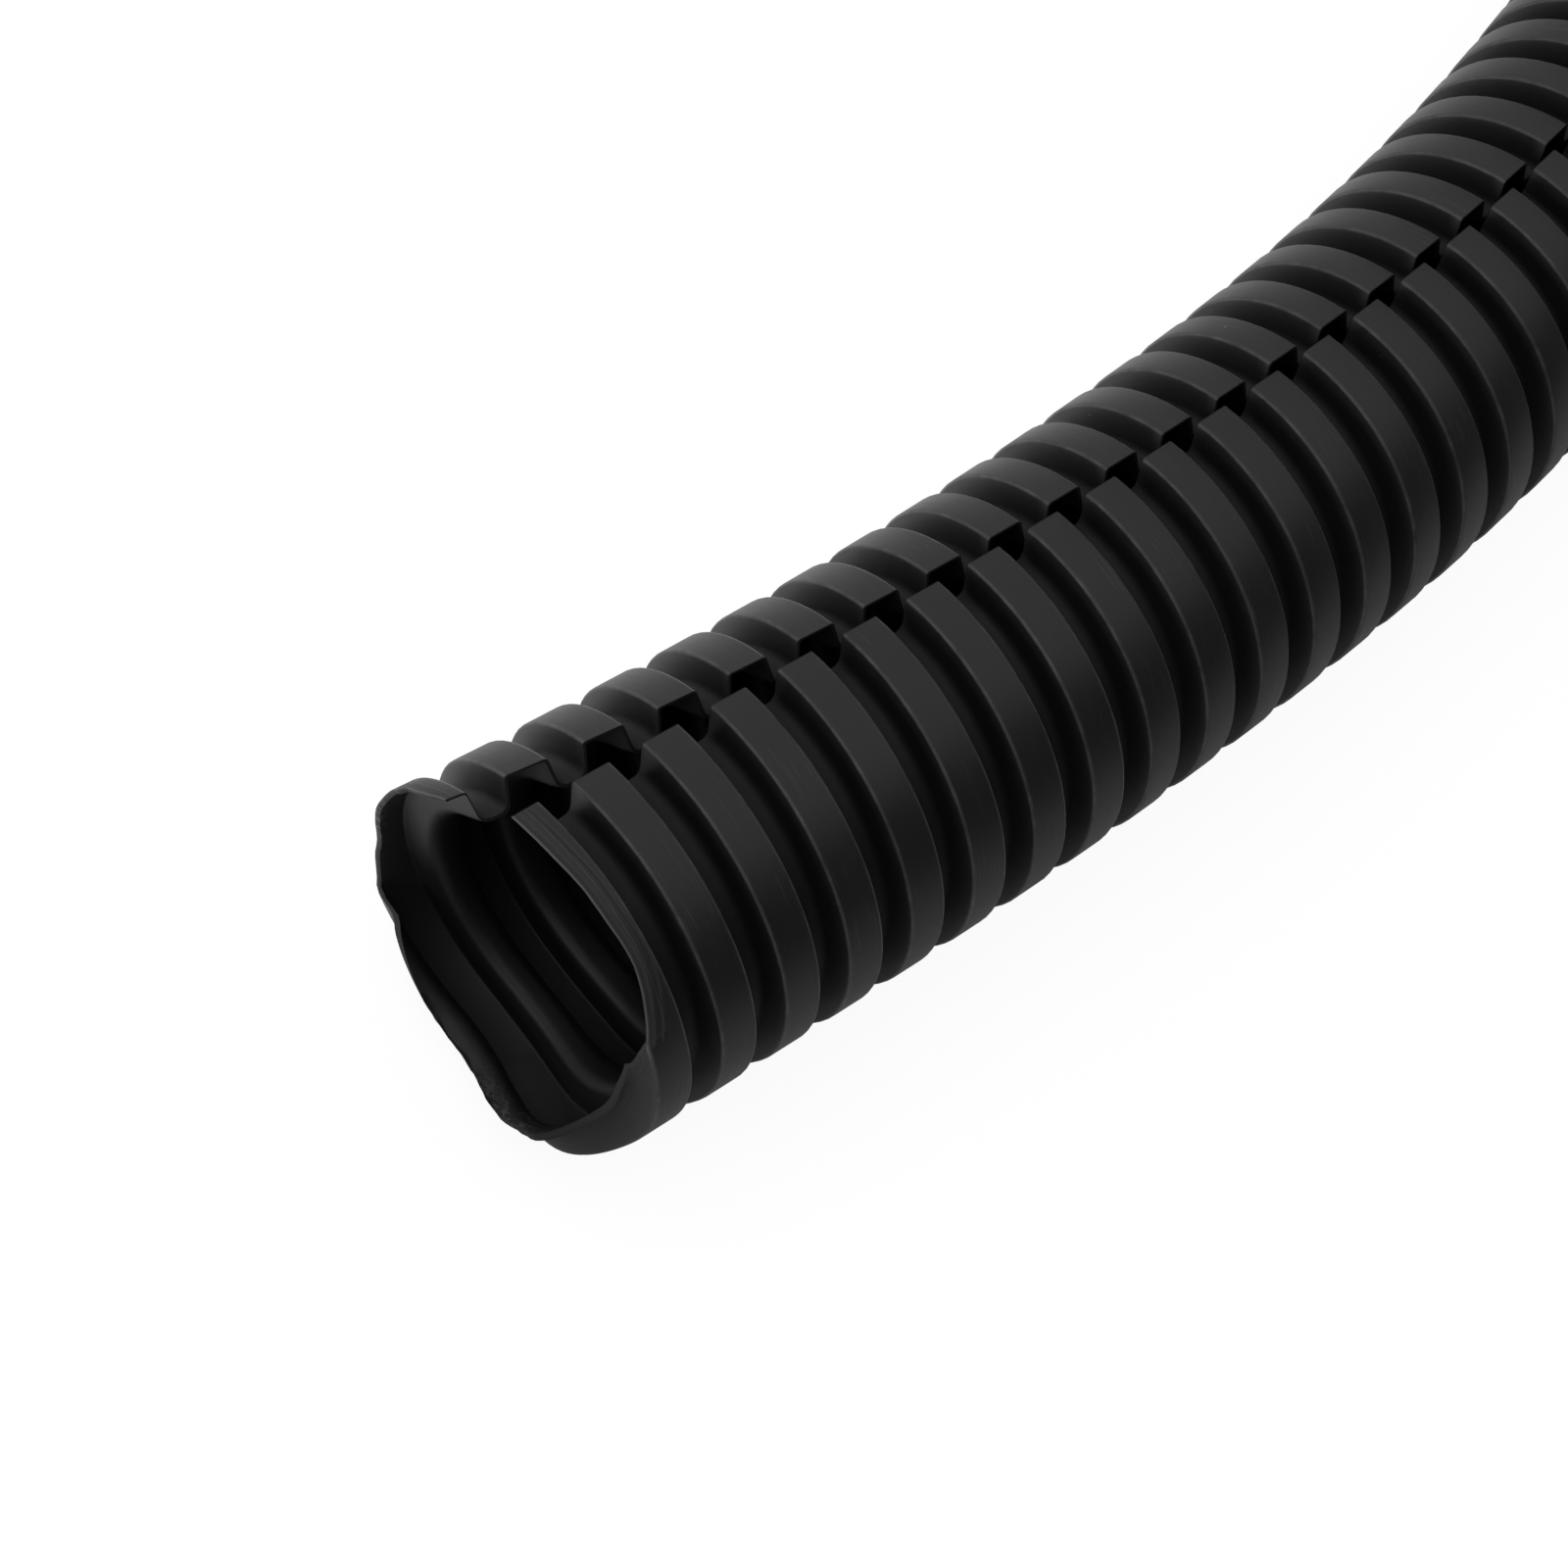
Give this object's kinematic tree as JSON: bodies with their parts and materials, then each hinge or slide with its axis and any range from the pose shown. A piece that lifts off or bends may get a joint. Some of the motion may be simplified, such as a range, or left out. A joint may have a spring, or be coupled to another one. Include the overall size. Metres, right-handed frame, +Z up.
{
  "type": "split corrugated conduit",
  "caption": "Length of corrugated plastic cable conduit, slit along one side, lying in a U with a hand-cut mouth.",
  "frame": {"origin": "on the floor, at the middle of the rectangle of floor that the tube covers", "axes": "+X into the tube at its hand-cut mouth and its square tail, +Y from the mouth leg of the U to the tail leg, +Z up"},
  "size_m": [0.1796, 0.298, 0.0158],
  "materials": {
    "conduit_plastic": "satin black extruded plastic"
  },
  "bodies": {
    "root": {"conduit_tube": "conduit_plastic"}
  },
  "joints": []
}
